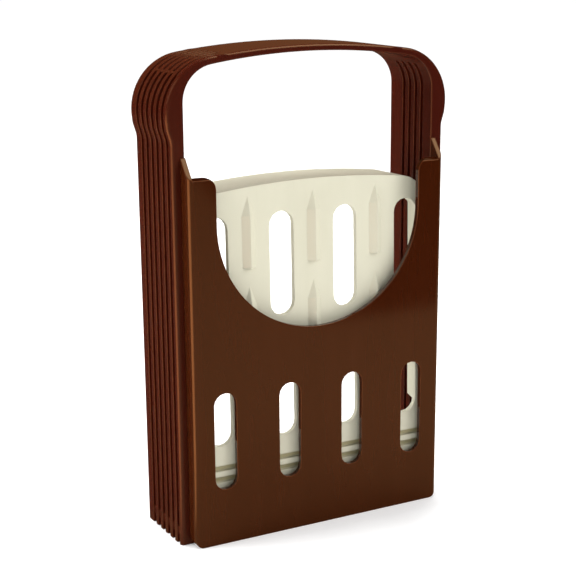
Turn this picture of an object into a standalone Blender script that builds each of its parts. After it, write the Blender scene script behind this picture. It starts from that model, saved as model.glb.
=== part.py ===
"""Folding bread slicing guide: a slotted knife arch, a stop plate and a loaf tray.

The arch stands on the table. The stop plate is set on the front of its legs.
The tray turns on two stub pins low on the legs: upright between them when it
is folded, level behind them when a loaf is cut. X runs across, Y runs back
from the plate to the arch's rear face, Z runs up from the table.
"""

import math

import bmesh
import bpy
from mathutils import Matrix, Vector

MM = 0.001
RUN_GAP = 0.3 * MM

# Knife slots: four positions between two blind edge grooves on each leg.
SLOT_COUNT = 4
SLOT_PITCH = 5.28 * MM
SLOT_WIDTH = 2.4 * MM
SLOT_LOW = 8.3 * MM
FRONT_LAND = 3.4 * MM
REAR_LAND = 7.3 * MM
GROOVE_WIDTH = 2.8 * MM
GROOVE_DEPTH = 1.5 * MM
BRIDGE_DEPTH = 0.6 * MM
BRIDGE_LOW = 4.2 * MM
GROOVE_OVERRUN = 0.5 * MM
TOP_BRIDGE = 0.7 * MM
BRIDGE_PROUD = 0.3 * MM
FADE_DEPTH = 0.7 * MM
FADE_END = 0.15 * MM
FADE_LENGTH = 23.0 * MM

# Arch. Its legs stand clear of the tray and open out towards the back.
TRAY_CLEARANCE = 2.9 * MM
LEG_WALL = 6.3 * MM
LEG_SPLAY = 1.1 * MM
BULGE = 2.1 * MM
BULGE_RISE = 8.5 * MM
BULGE_ANGLE = -8.5
ARCH_HEIGHT = 222.8 * MM
BAR_WALL = 2.9 * MM
OUTER_CROWN_RADIUS = 351.0 * MM
INNER_CROWN_RADIUS = 316.0 * MM
OUTER_CORNER_RADIUS = 25.0 * MM
INNER_CORNER_RADIUS = 16.0 * MM
FRONT_EDGE_RADIUS = 1.5 * MM
REAR_EDGE_RADIUS = 1.0 * MM
INNER_EDGE_RADIUS = 0.5 * MM

# Stop plate. Its flanges lap the front faces of the legs.
PLATE_LAP = 2.2 * MM
PLATE_WALL = 2.4 * MM
FLANGE_WALL = 2.3 * MM
FLANGE_DEPTH = 7.0 * MM
POST_HEIGHT = 168.1 * MM
POST_TOP_RISE = 1.1 * MM
FLANGE_STEP = 0.5 * MM
FLANGE_TOP_RISE = 9.3 * MM
PLATE_EDGE_RADIUS = 2.3 * MM
PLATE_CORNER_RADIUS = 4.2 * MM
SCOOP_RADIUS = 51.3 * MM
SCOOP_LOW = 96.7 * MM
SCOOP_LIP_RADIUS = 5.5 * MM
WINDOW_COUNT = 4
WINDOW_PITCH = 32.6 * MM
WINDOW_WIDTH = 11.0 * MM
WINDOW_LOW = 26.3 * MM
WINDOW_HIGH = 72.0 * MM

# Loaf tray. Its sizes are those of the upright tray; folded, it leans back a little.
TRAY_LEAN = 1.4
TRAY_HALF_WIDTH = 59.5 * MM
TRAY_STANDOFF = 2.1 * MM
TRAY_FLOOR = 2.5 * MM
TRAY_WALL = 2.2 * MM
TRAY_LOW = 11.0 * MM
TRAY_HIGH = 163.3 * MM
TRAY_CROWN_RADIUS = 395.0 * MM
TRAY_CORNER_RADIUS = 13.0 * MM
TRAY_FOOT_DEPTH = 27.0 * MM
TRAY_SIDE_DEPTH = 10.6 * MM
TRAY_WAIST_DEPTH = 4.2 * MM
TRAY_WAIST_HIGH = 48.4 * MM
FOOT_RUN = 12.5 * MM
FOOT_SLOPE = 5.0 * MM
TRAY_WINDOW_WIDTH = 12.1 * MM
TRAY_WINDOW_LENGTH = 47.8 * MM
TRAY_WINDOW_GAP = 9.4 * MM
TRAY_WINDOW_LOW = 44.9 * MM
TRAY_WINDOW_ROWS = 2
WEDGE_ROWS = 3
WEDGE_PITCH = 41.0 * MM
WEDGE_LENGTH = 30.8 * MM
WEDGE_TIP = 10.0 * MM
WEDGE_WIDTH = 6.7 * MM
WEDGE_HEIGHT = 2.3 * MM
WEDGE_LOW = 43.7 * MM
CUT_GROOVE_WIDTH = 2.4 * MM
CUT_GROOVE_DEPTH = 1.0 * MM

# Hinge: pins on the legs, eyes in the tray's side walls.
HINGE_SETBACK = 3.9 * MM
PIN_RADIUS = 2.3 * MM
PIN_OVERRUN = 0.6 * MM
PIN_CHAMFER = 0.4 * MM
SPACER_RADIUS = 4.4 * MM
SPACER_GAP = 0.5 * MM
EYE_WALL = 3.2 * MM
EYE_WEB = 4.0 * MM
EYE_WEB_ANGLE = 70.0
EYE_LIFT = 3.5 * MM
STOP_RADIUS = 1.3 * MM
STOP_REACH = 5.0 * MM
STOP_RISE = 1.2 * MM

# Cutters run past what they cut by this much.
OVERRUN = 5.0 * MM
ARC_STEPS = 12
ROUND_STEPS = 32

# The tray's width sets the legs apart, and the legs carry the plate.
legInner = TRAY_HALF_WIDTH + TRAY_CLEARANCE
legOuter = legInner + LEG_WALL
plateHalf = legInner + PLATE_LAP

# The arch stands close behind the plate's flanges.
archFront = FLANGE_DEPTH + RUN_GAP
grooveFront = archFront + FRONT_LAND
archDepth = FRONT_LAND + (SLOT_COUNT + 1) * SLOT_PITCH + REAR_LAND
totalDepth = archFront + archDepth

# The tray's face stands close behind the plate.
trayFace = PLATE_WALL + TRAY_STANDOFF
trayRear = trayFace + TRAY_FOOT_DEPTH

# Level, the foot stands on the table and the cut grooves lie under the slots.
nearestSlot = grooveFront + SLOT_PITCH
hingeY = grooveFront + HINGE_SETBACK
hingeZ = trayRear + RUN_GAP - hingeY

halfDepth = totalDepth / 2


def removeAll():
    for item in list(bpy.data.objects):
        bpy.data.objects.remove(item, do_unlink=True)


def arcPoints(cx, cz, radius, start, end, steps=ARC_STEPS):
    """Points on an arc from one angle to another, in degrees."""
    points = []
    for i in range(steps + 1):
        angle = math.radians(start + (end - start) * i / steps)
        points.append((cx + radius * math.cos(angle), cz + radius * math.sin(angle)))
    return points


def crownCorner(halfWidth, crownRadius, top, cornerRadius):
    """Centre of the corner arc that joins a vertical side to a shallow crown."""
    crownZ = top - crownRadius
    cx = halfWidth - cornerRadius
    cz = crownZ + math.sqrt((crownRadius - cornerRadius) ** 2 - cx ** 2)
    lean = math.degrees(math.atan2(cz - crownZ, cx))
    return cx, cz, crownZ, lean


def crownHalf(halfWidth, crownRadius, top, cornerRadius, first=0.0, steps=ARC_STEPS):
    """Right half of a crowned outline, from the side up to the middle of the crown."""
    cx, cz, crownZ, lean = crownCorner(halfWidth, crownRadius, top, cornerRadius)
    corner = arcPoints(cx, cz, cornerRadius, first, lean, steps)
    crown = arcPoints(0.0, crownZ, crownRadius, lean, 90.0, steps)
    return corner + crown[1:]


def mirrored(half):
    """A half outline on the right, from low to high, closed over to the left."""
    left = [(-x, z) for x, z in reversed(half) if x > 1e-7]
    return half + left


def smooth(t):
    return t * t * (3 - 2 * t)


def newMesh(name, builder):
    mesh = bpy.data.meshes.new(name)
    work = bmesh.new()
    builder(work)
    bmesh.ops.recalc_face_normals(work, faces=work.faces)
    work.to_mesh(mesh)
    work.free()
    return mesh


def addObject(name, mesh):
    item = bpy.data.objects.new(name, mesh)
    bpy.context.scene.collection.objects.link(item)
    return item


def prism(name, outline, low, high, plane):
    """A closed outline drawn in the XZ, YZ or XY plane and extruded along its normal."""
    def place(a, b, c):
        if plane == "XZ":
            return (a, c, b)
        if plane == "YZ":
            return (c, a, b)
        return (a, b, c)

    def build(work):
        face = work.faces.new([work.verts.new(place(a, b, low)) for a, b in outline])
        grown = bmesh.ops.extrude_face_region(work, geom=[face])
        moved = [v for v in grown["geom"] if isinstance(v, bmesh.types.BMVert)]
        bmesh.ops.translate(work, verts=moved, vec=Vector(place(0.0, 0.0, high - low)))

    return addObject(name, newMesh(name, build))


def slotOutline(cx, low, high, width, steps=8):
    """A round-ended upright slot."""
    r = width / 2
    top = arcPoints(cx, high - r, r, 0, 180, steps)
    bottom = arcPoints(cx, low + r, r, 180, 360, steps)
    return top + bottom


def turned(name, profile, y, z):
    """A round body along X from a list of places and radii."""
    def build(work):
        rings = []
        for x, radius in profile:
            ring = arcPoints(y, z, radius, 0, 360, ROUND_STEPS)[:-1]
            rings.append([work.verts.new((x, a, b)) for a, b in ring])
        for one, two in zip(rings, rings[1:]):
            for k in range(ROUND_STEPS):
                n = (k + 1) % ROUND_STEPS
                work.faces.new((one[k], one[n], two[n], two[k]))
        work.faces.new(rings[0])
        work.faces.new(rings[-1])

    return addObject(name, newMesh(name, build))


def combine(target, tool, operation, solver="EXACT"):
    """Applies a Boolean and drops the tool."""
    step = target.modifiers.new(operation.lower(), "BOOLEAN")
    step.operation = operation
    step.solver = solver
    step.object = tool
    bpy.context.view_layer.update()
    graph = bpy.context.evaluated_depsgraph_get()
    result = bpy.data.meshes.new_from_object(target.evaluated_get(graph))
    old = target.data
    target.modifiers.clear()
    target.data = result
    bpy.data.meshes.remove(old)
    bpy.data.objects.remove(tool, do_unlink=True)


def archOuter():
    """Right half of the arch's outside, from the foot up to the crown."""
    half = crownHalf(legOuter + BULGE, OUTER_CROWN_RADIUS, ARCH_HEIGHT, OUTER_CORNER_RADIUS,
                     BULGE_ANGLE, 16)
    bulgeX, bulgeZ = half[0]
    start = bulgeZ - BULGE_RISE
    side = [(legOuter, 0.0)]
    for i in range(9):
        t = i / 9
        side.append((legOuter + (bulgeX - legOuter) * smooth(t), start + BULGE_RISE * t))
    return side + half


def archInner():
    """Right half of the arch's inside, from the foot up to the crown."""
    half = crownHalf(legInner, INNER_CROWN_RADIUS, ARCH_HEIGHT - BAR_WALL, INNER_CORNER_RADIUS)
    return [(legInner, 0.0)] + half


def withLevels(points, levels, clear):
    """A rising path with points of its own at the given heights and no other close to them."""
    path = [Vector(points[0])]
    for point in points[1:]:
        if any(abs(point[1] - z) < clear for z in levels):
            continue
        last = path[-1]
        here = Vector(point)
        for z in sorted(levels):
            if last.y + 1e-7 < z < here.y - 1e-7:
                path.append(last.lerp(here, (z - last.y) / (here.y - last.y)))
        path.append(here)
    return path


def grooveCutter(name, side, y, slotTop, hasSlot):
    """A groove that follows the arch's outside and fades out on the crossbar. One
    with a knife slot stops for a short bridge over the slot's upper end."""
    step = 0.2 * MM
    grooveTop = slotTop + GROOVE_OVERRUN
    bridgeTop = SLOT_LOW - GROOVE_OVERRUN
    changes = [BRIDGE_LOW, bridgeTop, grooveTop]
    fadeLow = grooveTop
    if hasSlot:
        fadeLow = grooveTop + TOP_BRIDGE
        changes.append(fadeLow)
    levels = [low + shift for low in changes for shift in (0.0, step)]
    outside = [Vector(point) for point in archOuter()[1:]]
    middles = [one.lerp(two, 0.5) for one, two in zip(outside, outside[1:])]
    path = withLevels([(legOuter, -OVERRUN)] + middles, levels, 3 * step)
    stations = []
    fadeRun = 0.0
    ended = False
    for i, point in enumerate(path):
        before = path[max(i - 1, 0)]
        after = path[min(i + 1, len(path) - 1)]
        along = (after - before).normalized()
        normal = Vector((along.y, -along.x))
        if point.y > fadeLow + step / 2:
            depth = FADE_DEPTH + (FADE_END - FADE_DEPTH) * fadeRun / FADE_LENGTH
            fadeRun += (after - point).length
            ended = depth < FADE_END
            if ended:
                depth = -BRIDGE_PROUD
        elif point.y > grooveTop + step / 2:
            depth = -BRIDGE_PROUD
        elif BRIDGE_LOW + step / 2 < point.y < bridgeTop + step / 2:
            depth = BRIDGE_DEPTH
        else:
            depth = GROOVE_DEPTH
        stations.append((point, normal, depth))
        if ended:
            break
    wide = GROOVE_WIDTH / 2
    lift = SLOT_WIDTH / 2

    def build(work):
        rings = []
        for point, normal, depth in stations:
            top = point + normal * lift
            floor = point - normal * depth
            corners = ((top, -wide), (top, wide), (floor, wide), (floor, -wide))
            rings.append([work.verts.new((side * p.x, y + w, p.y)) for p, w in corners])
        for one, two in zip(rings, rings[1:]):
            for k in range(4):
                work.faces.new((one[k], one[(k + 1) % 4], two[(k + 1) % 4], two[k]))
        work.faces.new(rings[0])
        work.faces.new(rings[-1])

    return addObject(name, newMesh(name, build))


def roundRim(item, half, y, radius, steps):
    """Rounds the edge that follows a half outline and its mirror image at one depth."""
    spots = {(round(abs(x) * 1e7), round(z * 1e7)) for x, z in half}
    work = bmesh.new()
    work.from_mesh(item.data)
    rim = []
    for edge in work.edges:
        ends = [(round(abs(v.co.x) * 1e7), round(v.co.z * 1e7)) for v in edge.verts]
        level = all(abs(v.co.y - y) < 1e-7 for v in edge.verts)
        lifted = max(v.co.z for v in edge.verts) > 1e-5
        if level and lifted and all(end in spots for end in ends):
            rim.append(edge)
    bmesh.ops.bevel(work, geom=rim, offset=radius, segments=steps, profile=0.5, affect="EDGES")
    bmesh.ops.remove_doubles(work, verts=work.verts, dist=1e-7)
    work.to_mesh(item.data)
    work.free()


def splitFaces(item):
    """Splits every face into triangles, without needles."""
    work = bmesh.new()
    work.from_mesh(item.data)
    bmesh.ops.dissolve_degenerate(work, dist=5e-6, edges=work.edges)
    bmesh.ops.triangulate(work, faces=work.faces)
    work.to_mesh(item.data)
    work.free()


def makeArch():
    outer = archOuter()
    inner = archInner()
    outline = mirrored(outer) + [(-x, z) for x, z in inner] + [(x, z) for x, z in reversed(inner)][1:]
    arch = prism("knife_guide_arch", outline, archFront, totalDepth, "XZ")

    roundRim(arch, outer, archFront, FRONT_EDGE_RADIUS, 4)
    roundRim(arch, outer, totalDepth, REAR_EDGE_RADIUS, 3)
    roundRim(arch, inner, archFront, INNER_EDGE_RADIUS, 2)
    roundRim(arch, inner, totalDepth, INNER_EDGE_RADIUS, 2)
    splitFaces(arch)

    # The knife slots end level where the inner corner starts to turn over. The
    # exact solver loses the arch at some sizes here, so these cuts use the other.
    cx, cz, _, _ = crownCorner(legInner, INNER_CROWN_RADIUS, ARCH_HEIGHT - BAR_WALL, INNER_CORNER_RADIUS)
    slotTop = cz + INNER_CORNER_RADIUS * math.sin(math.radians(46))
    slotInner = cx + INNER_CORNER_RADIUS * math.cos(math.radians(52))
    slotOuter = legOuter + BULGE + OVERRUN
    for side in (-1, 1):
        for k in range(SLOT_COUNT + 2):
            y = grooveFront + k * SLOT_PITCH
            hasSlot = 0 < k <= SLOT_COUNT
            cutter = grooveCutter("groove", side, y, slotTop, hasSlot)
            combine(arch, cutter, "DIFFERENCE", "MANIFOLD")
        for k in range(SLOT_COUNT):
            y = nearestSlot + k * SLOT_PITCH
            hole = slotOutline(y, SLOT_LOW, slotTop, SLOT_WIDTH, 6)
            ends = sorted((side * slotInner, side * slotOuter))
            combine(arch, prism("slot", hole, ends[0], ends[1], "YZ"), "DIFFERENCE", "MANIFOLD")

    splitFaces(arch)

    # The legs open out towards the back.
    for vertex in arch.data.vertices:
        share = (vertex.co.y - archFront) / archDepth
        vertex.co.x *= 1 + share * LEG_SPLAY / legOuter

    # Stub pins with a shoulder, and the pegs the folded tray leans on.
    root = legInner + LEG_WALL / 2
    face = TRAY_HALF_WIDTH + SPACER_GAP
    tip = TRAY_HALF_WIDTH - TRAY_WALL - PIN_OVERRUN
    bevel = PIN_CHAMFER
    stopTip = TRAY_HALF_WIDTH - STOP_REACH
    stopY = trayFace + TRAY_FLOOR + RUN_GAP + STOP_RADIUS
    pin = [(root, SPACER_RADIUS), (face, SPACER_RADIUS), (face, PIN_RADIUS)]
    pin += [(tip + bevel, PIN_RADIUS), (tip, PIN_RADIUS - bevel)]
    peg = [(root, STOP_RADIUS), (stopTip + bevel, STOP_RADIUS), (stopTip, STOP_RADIUS - bevel)]
    for side in (-1, 1):
        for profile, y, z in ((pin, hingeY, hingeZ), (peg, stopY, TRAY_LOW + STOP_RISE)):
            placed = [(side * x, radius) for x, radius in profile]
            combine(arch, turned("boss", placed, y, z), "UNION", "MANIFOLD")
    return arch


def makePlate():
    half = plateHalf
    r = PLATE_EDGE_RADIUS
    inner = half - FLANGE_WALL
    plan = [(half, FLANGE_DEPTH)]
    plan += [(inner, FLANGE_DEPTH), (inner, PLATE_WALL)]
    plan += [(-inner, PLATE_WALL), (-inner, FLANGE_DEPTH), (-half, FLANGE_DEPTH)]
    plan += arcPoints(-half + r, r, r, 180, 270, 6)
    plan += arcPoints(half - r, r, r, 270, 360, 6)
    high = POST_HEIGHT + 4 * FLANGE_TOP_RISE
    plate = prism("stop_plate", plan, 0.0, high, "XY")

    # Rounded lower corners.
    c = PLATE_CORNER_RADIUS
    wide = half + OVERRUN
    front = -OVERRUN
    rear = FLANGE_DEPTH + OVERRUN
    bounds = arcPoints(half - c, c, c, 270, 360, 6) + [(half, high), (half, high + c)]
    bounds += [(-half, high + c), (-half, high)] + arcPoints(-half + c, c, c, 180, 270, 6)
    combine(plate, prism("bounds", bounds, front, rear, "XZ"), "INTERSECT")

    # The tops of the flanges slope up from the front, those of the posts only a little.
    foot = POST_HEIGHT + FLANGE_STEP
    slope = (FLANGE_TOP_RISE - FLANGE_STEP) / FLANGE_DEPTH
    top = [(front, foot), (0.0, foot), (rear, foot + slope * rear)]
    top += [(rear, high + OVERRUN), (front, high + OVERRUN)]
    combine(plate, prism("top", top, -wide, wide, "YZ"), "DIFFERENCE")
    backTop = POST_HEIGHT + POST_TOP_RISE
    top = [(front, POST_HEIGHT), (0.0, POST_HEIGHT), (PLATE_WALL, backTop), (rear, backTop)]
    top += [(rear, high + OVERRUN), (front, high + OVERRUN)]
    combine(plate, prism("top", top, -inner, inner, "YZ"), "DIFFERENCE")

    # Hand scoop, with rounded lips where it meets the posts.
    centreZ = SCOOP_LOW + SCOOP_RADIUS
    lip = SCOOP_LIP_RADIUS
    lipX = SCOOP_RADIUS + lip
    lipZ = backTop - lip
    scoop = arcPoints(0.0, centreZ, SCOOP_RADIUS, 180, 360, 48)
    scoop += arcPoints(lipX, lipZ, lip, 180, 90, 6)
    scoop += [(lipX, high), (-lipX, high)]
    scoop += arcPoints(-lipX, lipZ, lip, 90, 0, 6)
    combine(plate, prism("scoop", scoop, front, rear, "XZ"), "DIFFERENCE")

    for x in windowCentres():
        hole = slotOutline(x, WINDOW_LOW, WINDOW_HIGH, WINDOW_WIDTH)
        combine(plate, prism("window", hole, front, rear, "XZ"), "DIFFERENCE")
    return plate


def windowCentres():
    first = -(WINDOW_COUNT - 1) / 2
    return [(first + k) * WINDOW_PITCH for k in range(WINDOW_COUNT)]


def trayOutline(inset, low):
    half = crownHalf(TRAY_HALF_WIDTH - inset, TRAY_CROWN_RADIUS - inset, TRAY_HIGH - inset,
                     TRAY_CORNER_RADIUS - inset)
    return mirrored([(TRAY_HALF_WIDTH - inset, low)] + half)


def makeTray():
    # A block with the tray's outline, hollowed from the back and below.
    tray = prism("loaf_tray", trayOutline(0.0, TRAY_LOW), trayFace, trayRear, "XZ")
    hollow = trayOutline(TRAY_WALL, TRAY_LOW - OVERRUN)
    floorBack = trayFace + TRAY_FLOOR
    combine(tray, prism("hollow", hollow, floorBack, trayRear + OVERRUN, "XZ"), "DIFFERENCE")

    # The side walls: deep at the foot, shallower along the floor, a waist
    # where the walls pass the legs, and a round eye about the hinge.
    sideBack = trayFace + TRAY_SIDE_DEPTH
    waistBack = trayFace + TRAY_WAIST_DEPTH
    eye = PIN_RADIUS + RUN_GAP + EYE_WALL
    footZ = TRAY_HIGH - FOOT_RUN
    beyond = trayRear + OVERRUN
    cut = [(beyond, footZ)]
    for i in range(13):
        t = i / 12
        y = trayRear + (sideBack - trayRear) * smooth(t)
        cut.append((y, footZ - FOOT_SLOPE * t))
    step = sideBack - waistBack
    cut += [(sideBack, TRAY_WAIST_HIGH + step * 0.3), (waistBack, TRAY_WAIST_HIGH)]
    liftZ = TRAY_LOW + EYE_LIFT
    lowEnd = 180 + math.degrees(math.asin((hingeZ - liftZ) / eye))
    cut += [(waistBack, hingeZ + eye + EYE_WEB)]
    cut += arcPoints(hingeY, hingeZ, eye, EYE_WEB_ANGLE, lowEnd - 360, 24)
    cut += [(floorBack, liftZ), (floorBack, TRAY_LOW - OVERRUN), (beyond, TRAY_LOW - OVERRUN)]
    wide = TRAY_HALF_WIDTH + OVERRUN
    combine(tray, prism("sides", cut, -wide, wide, "YZ"), "DIFFERENCE")

    # Round lower end, so that it swings past the plate.
    nose = TRAY_FLOOR / 2
    past = nose * 1.5
    end = [(trayFace - past, TRAY_LOW - past), (floorBack + past, TRAY_LOW - past)]
    end += [(floorBack + past, TRAY_LOW + nose)]
    end += arcPoints(trayFace + nose, TRAY_LOW + nose, nose, 0, -180, 10)
    end += [(trayFace - past, TRAY_LOW + nose)]
    combine(tray, prism("nose", end, -wide, wide, "YZ"), "DIFFERENCE")

    # Two rows of windows.
    for row in range(TRAY_WINDOW_ROWS):
        low = TRAY_WINDOW_LOW + row * (TRAY_WINDOW_LENGTH + TRAY_WINDOW_GAP)
        for x in windowCentres():
            hole = slotOutline(x, low, low + TRAY_WINDOW_LENGTH, TRAY_WINDOW_WIDTH)
            cutter = prism("window", hole, trayFace - OVERRUN, floorBack + OVERRUN, "XZ")
            combine(tray, cutter, "DIFFERENCE")

    # Cut grooves that lie under the knife slots when the tray is level.
    g = CUT_GROOVE_WIDTH / 2
    for k in range(SLOT_COUNT):
        z = hingeZ + nearestSlot + k * SLOT_PITCH - hingeY
        back = trayFace + CUT_GROOVE_DEPTH
        front = trayFace - OVERRUN
        ends = [(front, z - g), (back, z - g), (back, z + g), (front, z + g)]
        combine(tray, prism("groove", ends, -wide, wide, "YZ"), "DIFFERENCE")

    # Wedges between the windows, blunt end towards the hinge.
    centres = windowCentres()
    for row in range(WEDGE_ROWS):
        low = WEDGE_LOW + row * WEDGE_PITCH
        for left, right in zip(centres, centres[1:]):
            combine(tray, wedge((left + right) / 2, low), "UNION")

    # Eyes for the stub pins.
    for side in (-1, 1):
        bore = PIN_RADIUS + RUN_GAP
        ends = [(side * x, bore) for x in (TRAY_HALF_WIDTH - TRAY_WALL - OVERRUN, wide)]
        combine(tray, turned("eye", ends, hingeY, hingeZ), "DIFFERENCE")
    return tray


def wedge(x, low):
    """A ridge of even height whose upper end runs down to a point."""
    sink = 0.2 * MM
    half = WEDGE_WIDTH / 2
    back = trayFace + sink
    crest = trayFace - WEDGE_HEIGHT
    grow = 1 + sink / WEDGE_HEIGHT
    high = low + WEDGE_LENGTH * grow
    spots = (
        (x, back, high),
        (x - half * grow, back, high - WEDGE_TIP),
        (x - half * grow, back, low),
        (x + half * grow, back, low),
        (x + half * grow, back, high - WEDGE_TIP),
        (x, crest, low),
        (x, crest, high - WEDGE_TIP),
    )

    def build(work):
        v = [work.verts.new(s) for s in spots]
        for loop in ((0, 1, 2, 3, 4), (0, 1, 6), (1, 2, 5, 6), (2, 3, 5), (3, 4, 6, 5), (4, 0, 6)):
            work.faces.new([v[k] for k in loop])

    return addObject("wedge", newMesh("wedge", build))


def setOrigin(item, spot):
    """Puts an object's origin at a point without moving its surface."""
    item.data.transform(Matrix.Translation(-spot))
    item.location = spot


def finish(item, color, roughness):
    """Clean mesh, smooth shading with sharp corners, and a plastic of its own."""
    work = bmesh.new()
    work.from_mesh(item.data)
    bmesh.ops.dissolve_degenerate(work, dist=5e-6, edges=work.edges)
    bmesh.ops.triangulate(work, faces=work.faces)
    bmesh.ops.recalc_face_normals(work, faces=work.faces)
    work.to_mesh(item.data)
    work.free()
    item.data.shade_smooth()
    item.data.set_sharp_from_angle(angle=math.radians(32))
    plastic = bpy.data.materials.new(item.name + "_plastic")
    plastic.use_nodes = True
    shader = plastic.node_tree.nodes["Principled BSDF"]
    shader.inputs["Base Color"].default_value = color + (1.0,)
    shader.inputs["Roughness"].default_value = roughness
    shader.inputs["Metallic"].default_value = 0.0
    item.data.materials.clear()
    item.data.materials.append(plastic)


def centreDepth(item):
    """Shifts a piece so that Y is measured from the middle of the footprint."""
    item.data.transform(Matrix.Translation((0.0, -halfDepth, 0.0)))


def main():
    removeAll()
    arch = makeArch()
    plate = makePlate()
    tray = makeTray()
    for item in (arch, plate, tray):
        centreDepth(item)
    setOrigin(tray, Vector((0.0, hingeY - halfDepth, hingeZ)))
    tray.data.transform(Matrix.Rotation(math.radians(-TRAY_LEAN), 4, "X"))
    finish(arch, (0.060, 0.018, 0.009), 0.28)
    finish(plate, (0.060, 0.018, 0.009), 0.26)
    finish(tray, (0.74, 0.71, 0.58), 0.38)
    fold = bpy.data.objects.new("tray_hinge", None)
    fold.location = tray.location
    bpy.context.scene.collection.objects.link(fold)
    tray.parent = fold
    tray.location = (0.0, 0.0, 0.0)
    for item in (arch, plate, tray):
        print(item.name, len(item.data.vertices), len(item.data.polygons))


main()
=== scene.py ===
# Bread slicing guide, folded: a brown arch and stop plate, a cream loaf tray between them.
import math
import bpy
from mathutils import Matrix, Vector


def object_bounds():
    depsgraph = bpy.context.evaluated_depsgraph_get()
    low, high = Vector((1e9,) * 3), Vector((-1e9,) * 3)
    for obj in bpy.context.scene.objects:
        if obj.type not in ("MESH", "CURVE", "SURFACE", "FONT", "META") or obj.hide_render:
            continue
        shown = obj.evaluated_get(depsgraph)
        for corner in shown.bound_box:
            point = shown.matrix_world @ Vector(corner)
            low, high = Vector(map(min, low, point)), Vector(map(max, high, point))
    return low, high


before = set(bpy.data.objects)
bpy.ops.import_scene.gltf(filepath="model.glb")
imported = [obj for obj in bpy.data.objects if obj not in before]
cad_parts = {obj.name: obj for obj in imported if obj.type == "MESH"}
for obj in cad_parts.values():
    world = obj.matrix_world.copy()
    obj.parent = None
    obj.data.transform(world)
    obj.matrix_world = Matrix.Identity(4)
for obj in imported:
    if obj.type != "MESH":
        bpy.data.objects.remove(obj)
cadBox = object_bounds()
mm = 0.001


class Wire:
    # One socket of a shader tree. Sums and products of wires add their Math nodes.
    def __init__(self, tree, socket):
        self.tree = tree
        self.socket = socket

    def math(self, operation, *values):
        return addNode(self.tree, "ShaderNodeMath", {"operation": operation}, values)

    def __add__(self, other):
        return self.math("ADD", self, other)

    def __radd__(self, other):
        return self.math("ADD", other, self)

    def __sub__(self, other):
        return self.math("SUBTRACT", self, other)

    def __rsub__(self, other):
        return self.math("SUBTRACT", other, self)

    def __mul__(self, other):
        return self.math("MULTIPLY", self, other)

    def __rmul__(self, other):
        return self.math("MULTIPLY", other, self)

    def __truediv__(self, other):
        return self.math("DIVIDE", self, other)

    def __rtruediv__(self, other):
        return self.math("DIVIDE", other, self)

    def pingPong(self, height):
        # Up to height and back to 0, over and over.
        return self.math("PINGPONG", self, height)

    def between(self, low, high):
        # 0 at low, 1 at high, and never past either.
        values = {"Value": self, "From Min": low, "From Max": high}
        return addNode(self.tree, "ShaderNodeMapRange", {"clamp": True}, values)

    def past(self, start, soft):
        # 0 up to start, and 1 from a soft step further on.
        return self.between(start, start + soft)


def addNode(tree, kind, settings=None, values=None, out=0):
    # Adds a node: its settings first, then the value or link of each socket.
    node = tree.nodes.new(kind)
    for name, value in (settings or {}).items():
        if name == "stops":
            setStops(node.color_ramp, value)
        else:
            setattr(node, name, value)
    pairs = values.items() if isinstance(values, dict) else enumerate(values or ())
    for key, value in pairs:
        if isinstance(value, Wire):
            tree.links.new(value.socket, node.inputs[key])
        else:
            node.inputs[key].default_value = value
    return Wire(tree, node.outputs[out]) if len(node.outputs) else None


def setStops(ramp, stops):
    # A new ramp has two stops, and so have all the ramps here.
    for element, (spot, color) in zip(ramp.elements, stops):
        element.position = spot
        element.color = color


def newMaterial(name):
    material = bpy.data.materials.new(name)
    material.use_nodes = True
    tree = material.node_tree
    tree.nodes.clear()
    return material, tree


# The colour sockets of a Mix node, by number because several share a name.
mixSocket = {"factor": 0, "first": 6, "second": 7, "result": 2}


def mixColors(tree, mask, first, second):
    # The first colour where the mask is 0, the second where it is 1.
    values = {mixSocket["factor"]: mask, mixSocket["first"]: first, mixSocket["second"]: second}
    return addNode(tree, "ShaderNodeMix", {"data_type": "RGBA"}, values, mixSocket["result"])


def objectPlace(tree):
    return addNode(tree, "ShaderNodeTexCoord", out="Object")


def along(tree, place, axis):
    # One coordinate of a place, "X", "Y" or "Z".
    return addNode(tree, "ShaderNodeSeparateXYZ", values=[place], out=axis)


def noiseOn(tree, place, scale, detail, roughness, stretch, shift):
    # Noise on object coordinates; scale is in cells to the metre.
    moves = {"Vector": place, "Scale": stretch, "Location": shift}
    values = {
        "Vector": addNode(tree, "ShaderNodeMapping", values=moves),
        "Scale": scale, "Detail": detail, "Roughness": roughness,
    }
    return addNode(tree, "ShaderNodeTexNoise", values=values)


def grooveShadeMask(tree, place, rule):
    # 1 in the tray's cut grooves, where the colour is darkened as painted shade.
    y, z = (along(tree, place, axis) for axis in "YZ")
    halfPitch = 0.5
    away = ((z - rule["low"]) / rule["pitch"]).pingPong(halfPitch)
    below = 1 - z.past(rule["top"], rule["soft"])
    front = 1 - (y - z * rule["lean"]).past(rule["floor"], rule["soft"])
    return (1 - away.between(*rule["sides"])) * below * front


# What the three mouldings have in common: the noises of their skin, and where a mask starts
# and ends. A stretch below 1 draws the noise out along that axis.
moulding = {
    "bevelSamples": 6, "edgeSpan": (0.01, 0.16), "scuffSpan": (0.62, 0.74), "noiseMiddle": 0.5,
    "wave": {"detail": 1.0, "roughness": 0.5, "stretch": (1, 1, 1), "shift": (0, 0, 0)},
    "flow": {"detail": 3.0, "roughness": 0.6, "stretch": (1, 1, 0.12), "shift": (0, 0, 0)},
    "skin": {"detail": 2.0, "roughness": 0.55, "stretch": (1, 1, 1), "shift": (0, 0, 0)},
    "scuff": {"detail": 4.0, "roughness": 0.7, "stretch": (1, 1, 0.06), "shift": (0.3, 0.1, 0)},
}


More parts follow.
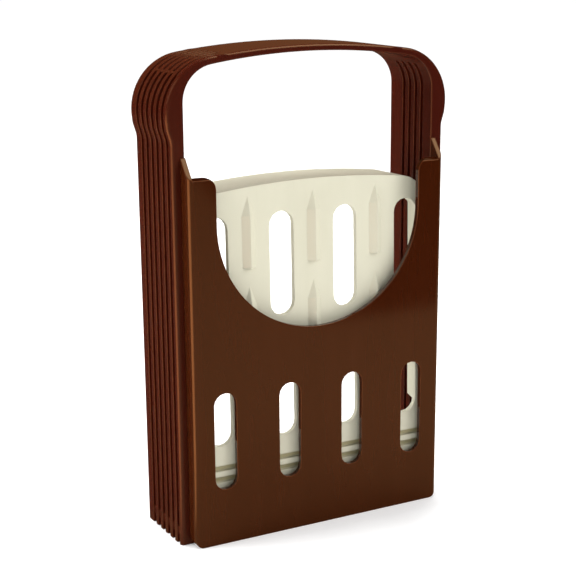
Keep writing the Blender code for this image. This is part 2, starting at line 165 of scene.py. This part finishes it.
def mouldedPlastic(name, look):
    # Moulded plastic: soft edges, lighter on them for wear and as a painted highlight, a
    # slightly wavy skin, flow marks and fine scuffs.
    material, tree = newMaterial(name)
    place = objectPlace(tree)
    bevel = {"samples": moulding["bevelSamples"]}
    rounded = addNode(tree, "ShaderNodeBevel", bevel, {"Radius": look["edgeRadius"]})
    flat = addNode(tree, "ShaderNodeNewGeometry", out="Normal")
    dot = {"operation": "DOT_PRODUCT"}
    facing = addNode(tree, "ShaderNodeVectorMath", dot, [rounded, flat], "Value")
    edge = (1 - facing).between(*moulding["edgeSpan"])

    waves, flow, skin, scuffs = (
        noiseOn(tree, place, look[kind + "Scale"], **moulding[kind])
        for kind in ("wave", "flow", "skin", "scuff")
    )
    scuffMask = scuffs.between(*moulding["scuffSpan"])

    color = addNode(tree, "ShaderNodeValToRGB", {"stops": look["flowColors"]}, [flow])
    # Edge colour: partly wear, partly a painted highlight along the rounded edges.
    color = mixColors(tree, edge * look["wearAndHighlightMix"], color, look["wearAndHighlightColor"])
    color = mixColors(tree, scuffMask * look["scuffTint"], color, look["scuffColor"])
    # Painted shade darkens the tray's cut grooves.
    if "grooves" in look:
        grooves = grooveShadeMask(tree, place, look["grooves"])
        color = mixColors(tree, grooves * look["grooveShadeMix"], color, look["grooveShadeColor"])

    rough = look["roughness"] + (flow - moulding["noiseMiddle"]) * look["flowRoughness"]
    rough = rough + edge * look["edgeRoughness"] + scuffMask * look["scuffRoughness"]

    height = waves * look["waveHeight"] + skin * look["skinHeight"]
    height = height - scuffMask * look["scuffDepth"]
    bumps = {"Strength": 1.0, "Distance": 1.0, "Height": height, "Normal": rounded}  # in metres
    normal = addNode(tree, "ShaderNodeBump", values=bumps)

    finish = {
        "Base Color": color, "Roughness": rough, "Normal": normal,
        "IOR": look["ior"], "Specular IOR Level": look["specular"],
    }
    shader = addNode(tree, "ShaderNodeBsdfPrincipled", values=finish)
    addNode(tree, "ShaderNodeOutputMaterial", values={"Surface": shader})
    return material


archLook = {
    "edgeRadius": 0.7 * mm,
    "waveScale": 22.0, "waveHeight": 0.10 * mm,
    "flowScale": 60.0,
    "skinScale": 900.0, "skinHeight": 0.004 * mm,
    "scuffScale": 700.0, "scuffDepth": 0.004 * mm,
    "flowColors": [
        (0.3, (0.043, 0.0040, 0.0012, 1)),
        (0.7, (0.051, 0.0052, 0.0018, 1)),
    ],
    # Lighter edges: wear and a painted highlight.
    "wearAndHighlightColor": (0.130, 0.028, 0.010, 1), "wearAndHighlightMix": 0.7,
    "scuffColor": (0.08, 0.026, 0.014, 1), "scuffTint": 0.10,
    "roughness": 0.20, "flowRoughness": 0.08,
    "edgeRoughness": 0.04, "scuffRoughness": 0.10,
    "ior": 1.5, "specular": 0.5,
}
# The plate is as the arch, but more polished and a little more yellow.
plateLook = {
    **archLook,
    "waveScale": 14.0, "waveHeight": 0.05 * mm,
    "flowColors": [
        (0.3, (0.034, 0.0056, 0.0008, 1)),
        (0.7, (0.040, 0.0070, 0.0013, 1)),
    ],
    # Lighter edges: wear and a painted highlight.
    "wearAndHighlightColor": (0.150, 0.038, 0.013, 1), "wearAndHighlightMix": 0.8,
    "roughness": 0.09, "flowRoughness": 0.03,
}
trayLook = {
    "edgeRadius": 0.6 * mm,
    "waveScale": 30.0, "waveHeight": 0.08 * mm,
    "flowScale": 45.0,
    "skinScale": 800.0, "skinHeight": 0.006 * mm,
    "scuffScale": 600.0, "scuffDepth": 0.004 * mm,
    "flowColors": [
        (0.3, (0.615, 0.595, 0.462, 1)),
        (0.7, (0.660, 0.638, 0.502, 1)),
    ],
    # Lighter edges: wear and a painted highlight.
    "wearAndHighlightColor": (0.72, 0.69, 0.57, 1), "wearAndHighlightMix": 0.5,
    "scuffColor": (0.55, 0.51, 0.39, 1), "scuffTint": 0.15,
    "roughness": 0.36, "flowRoughness": 0.10,
    "edgeRoughness": 0.05, "scuffRoughness": 0.10,
    "ior": 1.5, "specular": 0.4,
    # Painted shade in the cut grooves. The grooves start at low and stop at top. Their sides
    # are given in pitches.
    "grooves": {
        "low": 18.8 * mm, "pitch": 5.28 * mm, "top": 37.2 * mm, "sides": (0.12, 0.34),
        "floor": -16.3 * mm, "lean": 0.0244, "soft": 0.4 * mm,
    },
    "grooveShadeColor": (0.27, 0.225, 0.070, 1), "grooveShadeMix": 0.70,
}

finishes = {
    "knife_guide_arch": ("archBrown", archLook),
    "stop_plate": ("plateBrown", plateLook),
    "loaf_tray": ("trayCream", trayLook),
}
for node, (name, look) in finishes.items():
    material = mouldedPlastic(name, look)
    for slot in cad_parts[node].material_slots:
        slot.material = material
print("plastic on", len(finishes), "pieces")


# Camera where the photo was taken from. Angles in degrees, lens and sensor in millimetres.
viewPoint = {
    "azimuth": 27.56, "elevation": 14.19, "roll": -0.40,
    "target": (-17.1 * mm, -22.2 * mm, 116.4 * mm), "distance": 591.26 * mm,
    "lens": 82.75, "sensor": 36.0, "clipStart": 0.01,
}


def addCamera(setup):
    azimuth, elevation, roll = (
        math.radians(setup[angle]) for angle in ("azimuth", "elevation", "roll")
    )
    level = math.cos(elevation)
    back = Vector((
        -math.sin(azimuth) * level, -math.cos(azimuth) * level, math.sin(elevation),
    ))
    right = Vector((0, 0, 1)).cross(back).normalized()
    up = back.cross(right)
    tiltRight = math.cos(roll) * right + math.sin(roll) * up
    tiltUp = math.cos(roll) * up - math.sin(roll) * right
    lens = bpy.data.cameras.new("photoCamera")
    lens.lens = setup["lens"]
    lens.sensor_width = setup["sensor"]
    lens.clip_start = setup["clipStart"]
    camera = bpy.data.objects.new("photoCamera", lens)
    bpy.context.scene.collection.objects.link(camera)
    place = Matrix((tiltRight, tiltUp, back)).transposed().to_4x4()
    place.translation = Vector(setup["target"]) + back * setup["distance"]
    camera.matrix_world = place
    bpy.context.scene.camera = camera


addCamera(viewPoint)
print("camera")


# White table. In gloss alone its colour is painted reflection: warm, with three painted zones,
# a dark one in front at the right, a dim one behind the part, and a glowing glint streak to the
# left. Lengths are in metres.
table = {
    "size": 60.0, "color": (0.985, 0.985, 0.985, 1), "lift": 0.10,
    "inGloss": (0.40, 0.235, 0.105, 1),
    "dark": {
        "inGloss": (0.02, 0.01, 0.005, 1),
        "front": 0.325, "left": 0.17, "slant": 0.28, "soft": 0.004,
    },
    "dim": {"inGloss": (0.08, 0.038, 0.022, 1), "front": -0.02, "soft": 0.05},
    "glintStreak": {
        "inGloss": (2.8, 1.10, 0.38, 1),
        "right": -0.07, "lowSlope": 0.10, "highSlope": 1.4, "soft": 0.03,
    },
}


def paintedReflectionZones(tree, setup):
    # The masks of the three painted reflection zones, by name and in the order they are laid
    # on.
    place = objectPlace(tree)
    x, y = (along(tree, place, axis) for axis in "XY")
    forward = -1 * y
    dark, dim, glintStreak = (setup[zone] for zone in ("dark", "dim", "glintStreak"))
    beyond = forward - dark["front"]
    beside = x - (dark["left"] + beyond * dark["slant"])
    leftward = glintStreak["right"] - x
    above = forward - leftward * glintStreak["lowSlope"]
    below = leftward * glintStreak["highSlope"] - forward
    return {
        "dark": beyond.past(0, dark["soft"]) * beside.past(0, dark["soft"]),
        "dim": y.past(dim["front"], dim["soft"]),
        "glintStreak": above.past(0, glintStreak["soft"]) * below.past(0, glintStreak["soft"]),
    }


def addTable(setup):
    half = setup["size"] / 2
    mesh = bpy.data.meshes.new("tableTop")
    corners = [(-half, -half, 0), (half, -half, 0), (half, half, 0), (-half, half, 0)]
    mesh.from_pydata(corners, [], [(0, 1, 2, 3)])
    floor = bpy.data.objects.new("tableTop", mesh)
    bpy.context.scene.collection.objects.link(floor)
    material, tree = newMaterial("tableWhite")
    seen = setup["inGloss"]
    for zone, mask in paintedReflectionZones(tree, setup).items():
        seen = mixColors(tree, mask, seen, setup[zone]["inGloss"])
    # Glossy rays see the painted reflection colours, all other rays the white table.
    gloss = addNode(tree, "ShaderNodeLightPath", out="Is Glossy Ray")
    color = mixColors(tree, gloss, setup["color"], seen)
    # A little light of its own keeps the far table as white as the backdrop.
    lift = addNode(tree, "ShaderNodeLightPath", out="Is Camera Ray") * setup["lift"]
    glow = addNode(tree, "ShaderNodeEmission", values={"Strength": lift})
    matte = addNode(tree, "ShaderNodeBsdfDiffuse", values={"Color": color})
    shader = addNode(tree, "ShaderNodeAddShader", values=[matte, glow])
    addNode(tree, "ShaderNodeOutputMaterial", values={"Surface": shader})
    mesh.materials.append(material)


addTable(table)
print("table")


# The room lights the part evenly, is white behind it, and is dim and warm in gloss.
room = {
    "light": (0.65, 0.65, 0.65, 1), "backdrop": (1, 1, 1, 1),
    "inGloss": (0.17, 0.076, 0.030, 1),
}


def addRoom(setup):
    world = bpy.data.worlds.new("studio")
    world.use_nodes = True
    tree = world.node_tree
    tree.nodes.clear()
    seen = addNode(tree, "ShaderNodeLightPath", out="Is Camera Ray")
    gloss = addNode(tree, "ShaderNodeLightPath", out="Is Glossy Ray")
    color = mixColors(tree, seen, setup["light"], setup["backdrop"])
    color = mixColors(tree, gloss, color, setup["inGloss"])
    light = addNode(tree, "ShaderNodeBackground", values={"Color": color})
    addNode(tree, "ShaderNodeOutputWorld", values={"Surface": light})
    bpy.context.scene.world = world


addRoom(room)
print("room")


# A broad sun from the right in front and two white fills light the surfaces, and two warm
# glows show in their gloss alone. The sun's place is from the part's middle.
white = (1.0, 1.0, 1.0)
warm = (1.0, 0.62, 0.32)
sun = {"from": (0.58, -0.58, 0.60), "angle": 34.0, "power": 1.45}
fills = {
    "fillLeft": {"spot": (-1.2, 0.3, 0.7), "size": (0.5, 0.9), "power": 13.0},
    "fillTop": {"spot": (0.0, 0.5, 1.4), "size": (1.2, 0.8), "power": 18.0},
}
glows = {
    "glowLeft": {"spot": (-1.2, -0.4, 0.9), "size": (0.5, 0.9), "power": 5.0},
    "glowTop": {"spot": (0.55, -0.25, 1.25), "size": (0.8, 0.8), "power": 9.0},
}


def addLamp(name, kind, spot, aim, power, gloss):
    lamp = bpy.data.lights.new(name, kind)
    lamp.energy = power
    item = bpy.data.objects.new(name, lamp)
    bpy.context.scene.collection.objects.link(item)
    turn = (Vector(aim) - Vector(spot)).to_track_quat("-Z", "Y")
    item.matrix_world = Matrix.Translation(Vector(spot)) @ turn.to_matrix().to_4x4()
    item.visible_glossy = gloss
    item.visible_diffuse = not gloss
    return lamp


def addBoxes(boxes, aim, gloss, color):
    for name, box in boxes.items():
        lamp = addLamp(name, "AREA", box["spot"], aim, box["power"], gloss)
        lamp.shape = "RECTANGLE"
        lamp.color = color
        lamp.size, lamp.size_y = box["size"]


middle = (cadBox[0] + cadBox[1]) / 2
sunSpot = middle + Vector(sun["from"])
sunLamp = addLamp("keyRightFront", "SUN", sunSpot, middle, sun["power"], False)
sunLamp.angle = math.radians(sun["angle"])
addBoxes(fills, middle, False, white)
addBoxes(glows, middle, True, warm)
bpy.context.scene.view_settings.view_transform = "Standard"
print("lamps")
